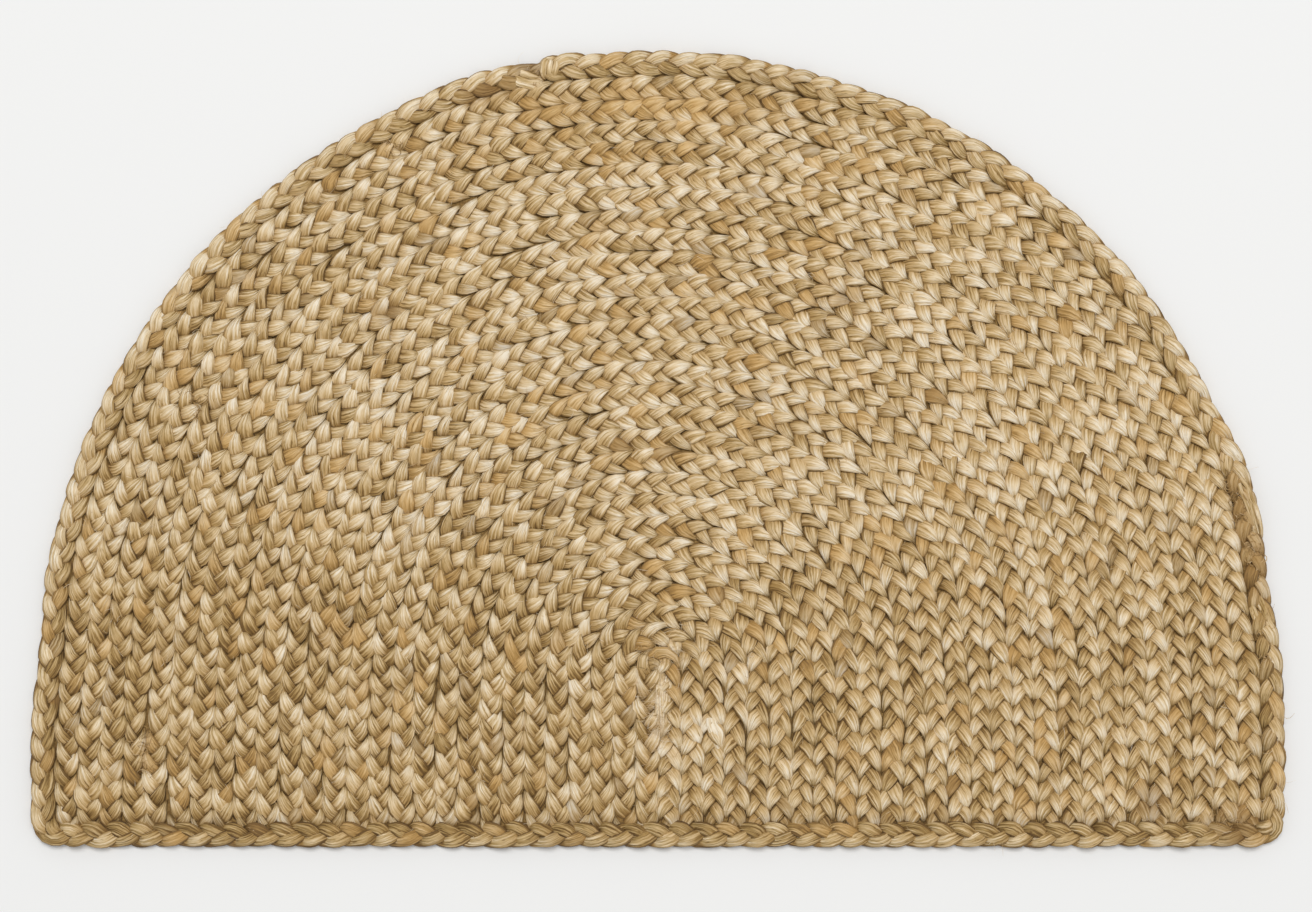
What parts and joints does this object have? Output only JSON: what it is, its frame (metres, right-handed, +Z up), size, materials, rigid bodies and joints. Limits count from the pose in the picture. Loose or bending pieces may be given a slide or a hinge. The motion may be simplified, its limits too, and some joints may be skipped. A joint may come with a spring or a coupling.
{
  "type": "doormat",
  "caption": "Flat half-moon doormat of braided natural jute, wound in U-shaped rows and finished with a braid round the edge.",
  "frame": {"origin": "on the floor, under the middle of the mat's outline box", "axes": "+X to the right along the straight cut edge, +Y from the straight edge towards the top of the arch, +Z up out of the mat's face"},
  "size_m": [0.8, 0.5073, 0.01],
  "materials": {
    "field_jute": "plaited natural jute, straw with golden and pale strands, dry and fibrous with a faint sheen",
    "edge_jute": "plaited natural jute, a little darker straw, dry and fibrous with a faint sheen"
  },
  "bodies": {
    "root": {"field": "field_jute", "edge_braid": "edge_jute"}
  },
  "joints": []
}
